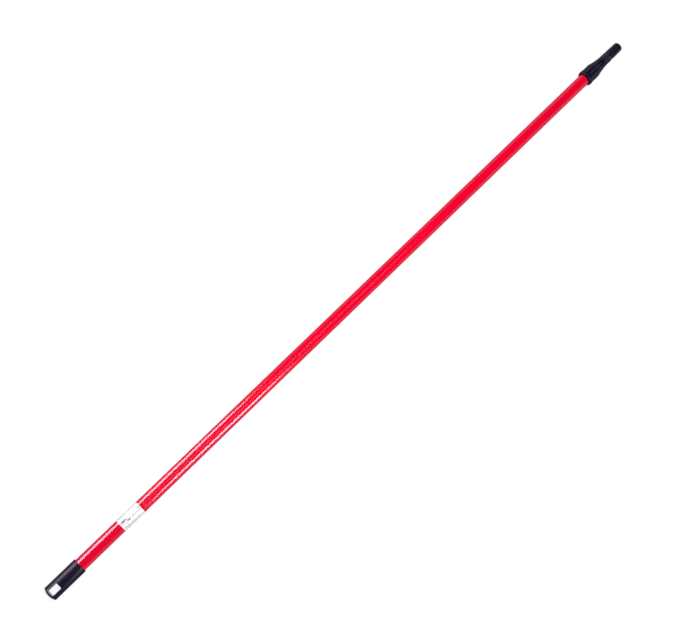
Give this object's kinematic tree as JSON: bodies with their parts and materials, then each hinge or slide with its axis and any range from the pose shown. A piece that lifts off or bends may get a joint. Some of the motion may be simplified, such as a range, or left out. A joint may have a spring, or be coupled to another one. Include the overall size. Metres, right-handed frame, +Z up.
{
  "type": "telescopic extension pole",
  "caption": "Telescopic steel extension pole for paint rollers, with a twist-lock nut, a ribbed threaded tip and an end cap with a hanging slot.",
  "frame": {"origin": "centre of the bounding box's underside, where the closed pole lies on a floor", "axes": "+X along the pole from the butt to the tip, +Z up through the hanging slot, +Y across the pole"},
  "size_m": [1.6, 0.0338, 0.0338],
  "materials": {
    "black_plastic": "satin moulded polypropylene",
    "red_coat": "glossy plastic coat on steel tube",
    "label_film": "white printed film",
    "nylon": "natural moulded nylon",
    "rubber": "black rubber",
    "zinc_steel": "bright zinc plate",
    "bright_steel": "plain drawn wire"
  },
  "bodies": {
    "outer": {"end_cap": "black_plastic", "outer_tube": "red_coat", "label": "label_film", "threaded_sleeve": "black_plastic", "sleeve_rivet_front": "bright_steel", "sleeve_rivet_back": "bright_steel", "mouth_bush": "nylon", "clamp_ring": "nylon"},
    "washer": {"thrust_washer": "nylon"},
    "nut": {"twist_nut": "black_plastic", "nose_wiper": "rubber"},
    "glides": {"glide_ring_lower": "nylon", "glide_ring_upper": "nylon"},
    "inner": {"inner_tube": "zinc_steel", "foot_plug": "nylon", "foot_bumper": "rubber", "foot_pin": "bright_steel", "tip_adaptor": "black_plastic", "tip_pin": "bright_steel"}
  },
  "joints": [
    {"name": "nut_travel", "type": "slide", "parent": "outer", "child": "washer", "axis": [1, 0, 0], "range_m": [0, 0.003]},
    {"name": "nut_turn", "type": "hinge", "parent": "washer", "child": "nut", "pos_m": [0.6835, 0, 0.0169], "axis": [1, 0, 0], "range_deg": [0, 360]},
    {"name": "inner_slide", "type": "slide", "parent": "outer", "child": "glides", "axis": [1, 0, 0], "range_m": [0, 1.4]},
    {"name": "inner_spin", "type": "hinge", "parent": "glides", "child": "inner", "pos_m": [-0.7, 0, 0.0169], "axis": [1, 0, 0], "continuous": true}
  ],
  "couplings": [
    {"joint": "nut_travel", "follows": "nut_turn", "m_per_rad": 0.00047746}
  ]
}
